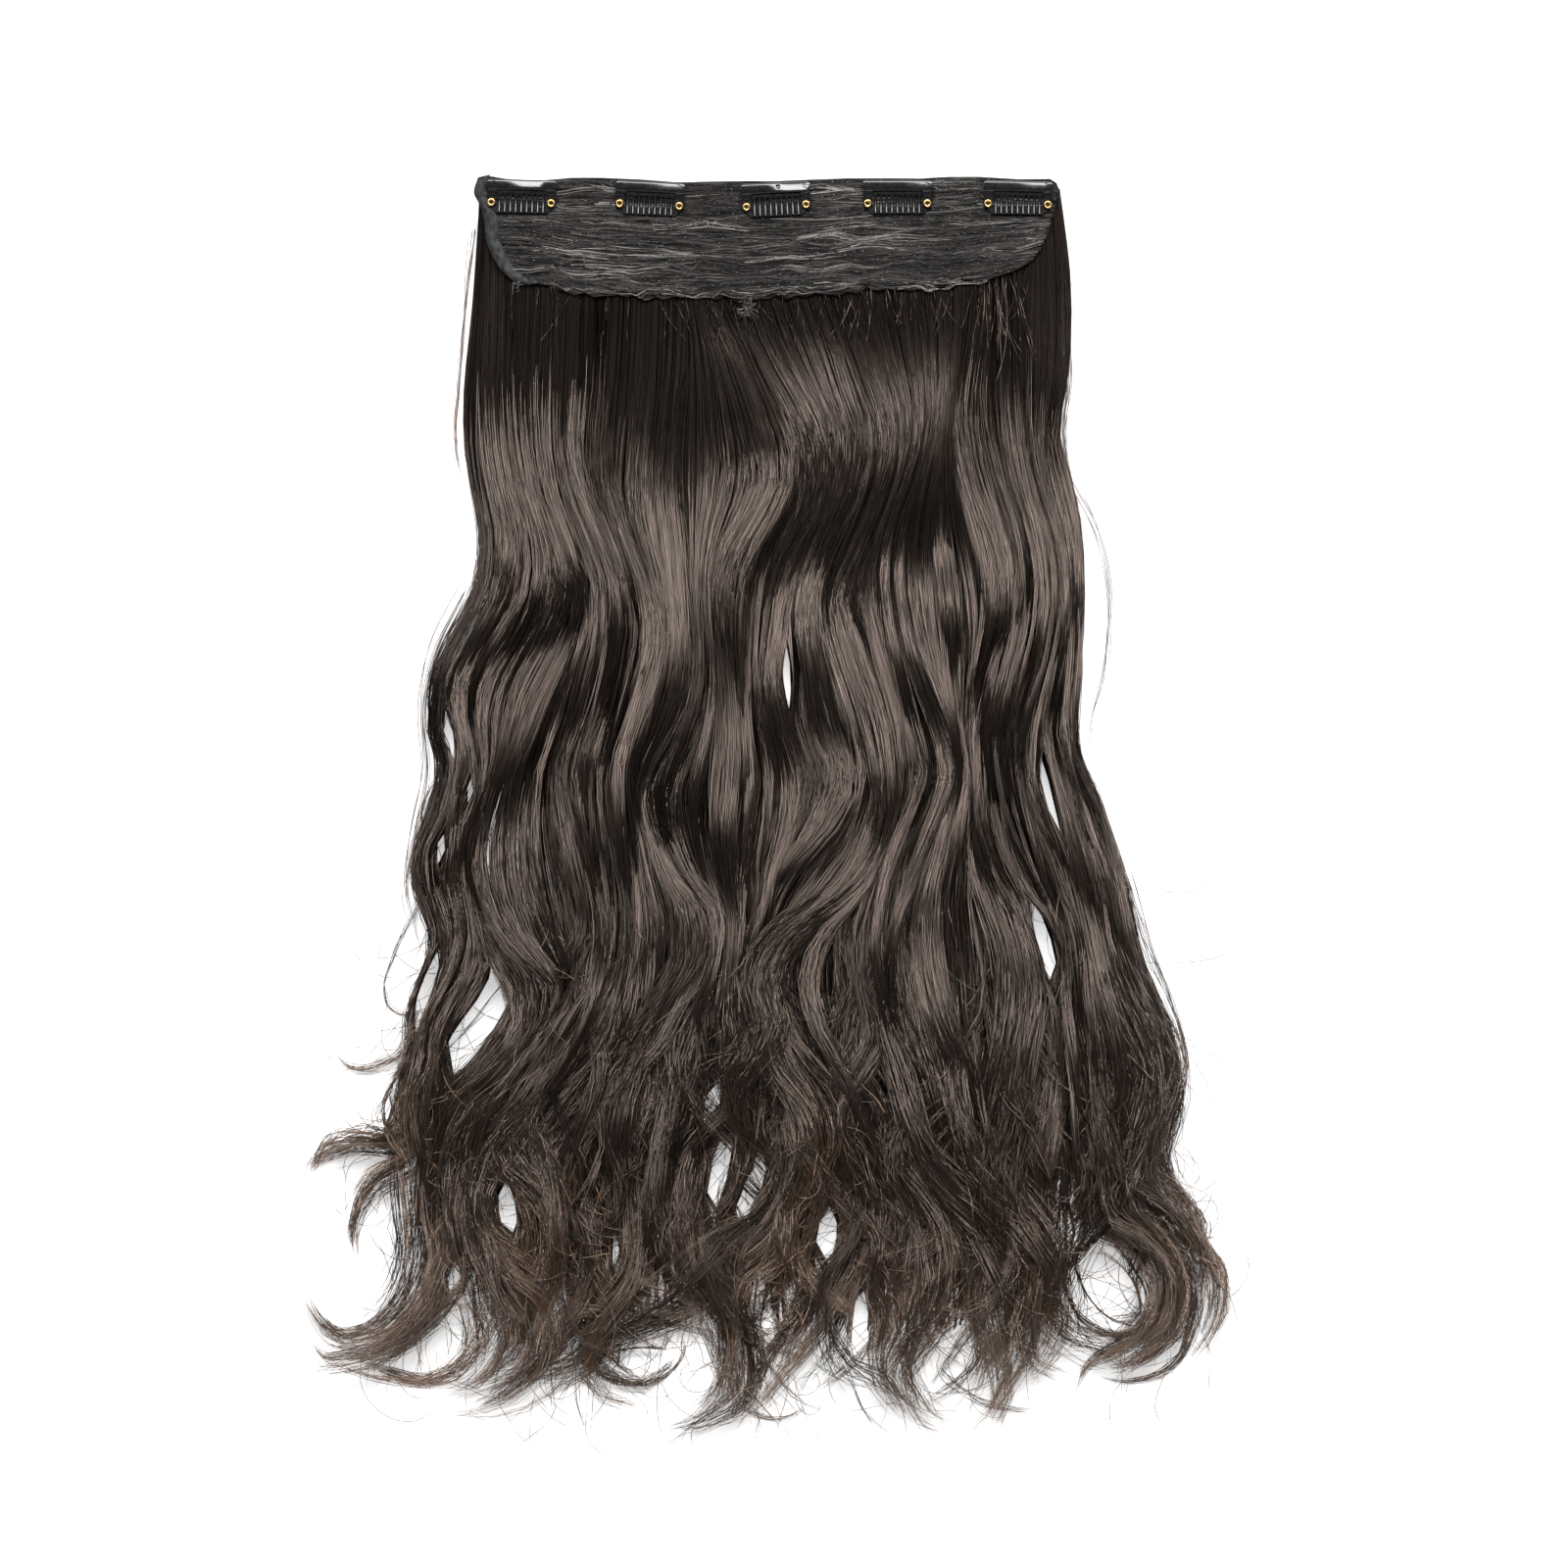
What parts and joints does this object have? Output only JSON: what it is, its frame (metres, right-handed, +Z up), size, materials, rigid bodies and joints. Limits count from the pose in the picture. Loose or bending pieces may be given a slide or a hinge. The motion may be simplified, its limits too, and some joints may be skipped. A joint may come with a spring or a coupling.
{
  "type": "clip-in hair extension",
  "caption": "Wide weft of long wavy dark brown hair sewn under a net band, with snap clips along the band's upper edge that grip the wearer's own hair.",
  "frame": {"origin": "on the resting plane under the middle of the band", "axes": "+Y from the hair's ends to the band along the hair, +Z up out of the resting plane to the clips, +X along the band"},
  "size_m": [0.3973, 0.5398, 0.0234],
  "materials": {
    "hair": "satin synthetic fibre",
    "band": "sewn net",
    "lacquer": "gloss black lacquer",
    "brass": "polished"
  },
  "bodies": {
    "weft": {"weft_band": "band", "hair_lock_1": "hair", "hair_lock_2": "hair", "hair_lock_3": "hair", "hair_lock_4": "hair", "hair_lock_5": "hair", "hair_lock_6": "hair", "hair_lock_7": "hair", "hair_lock_8": "hair", "hair_lock_9": "hair", "hair_lock_10": "hair", "hair_lock_11": "hair", "clip_1_frame": "lacquer", "clip_1_bow": "lacquer", "clip_1_eyelet_left": "brass", "clip_1_eyelet_right": "brass", "clip_2_frame": "lacquer", "clip_2_bow": "lacquer", "clip_2_eyelet_left": "brass", "clip_2_eyelet_right": "brass", "clip_3_frame": "lacquer", "clip_3_bow": "lacquer", "clip_3_eyelet_left": "brass", "clip_3_eyelet_right": "brass", "clip_4_frame": "lacquer", "clip_4_bow": "lacquer", "clip_4_eyelet_left": "brass", "clip_4_eyelet_right": "brass", "clip_5_frame": "lacquer", "clip_5_bow": "lacquer", "clip_5_eyelet_left": "brass", "clip_5_eyelet_right": "brass"},
    "comb_1": {"clip_1_comb": "lacquer"},
    "comb_2": {"clip_2_comb": "lacquer"},
    "comb_3": {"clip_3_comb": "lacquer"},
    "comb_4": {"clip_4_comb": "lacquer"},
    "comb_5": {"clip_5_comb": "lacquer"}
  },
  "joints": [
    {"name": "clip_1_snap", "type": "hinge", "parent": "weft", "child": "comb_1", "pos_m": [-0.1059, 0.0187, 0.0085], "axis": [-0.9998, 0.0209, 0], "range_deg": [0, 35]},
    {"name": "clip_2_snap", "type": "hinge", "parent": "weft", "child": "comb_2", "pos_m": [-0.05079, 0.01779, 0.0085], "axis": [-0.999, 0.0454, 0], "range_deg": [0, 35]},
    {"name": "clip_3_snap", "type": "hinge", "parent": "weft", "child": "comb_3", "pos_m": [0.00319, 0.0174, 0.0085], "axis": [-0.999, -0.0454, 0], "range_deg": [0, 35]},
    {"name": "clip_4_snap", "type": "hinge", "parent": "weft", "child": "comb_4", "pos_m": [0.0554, 0.0184, 0.0085], "axis": [-1, 0, 0], "range_deg": [0, 35]},
    {"name": "clip_5_snap", "type": "hinge", "parent": "weft", "child": "comb_5", "pos_m": [0.1071, 0.0181, 0.0085], "axis": [-0.9997, 0.0227, 0], "range_deg": [0, 35]}
  ]
}
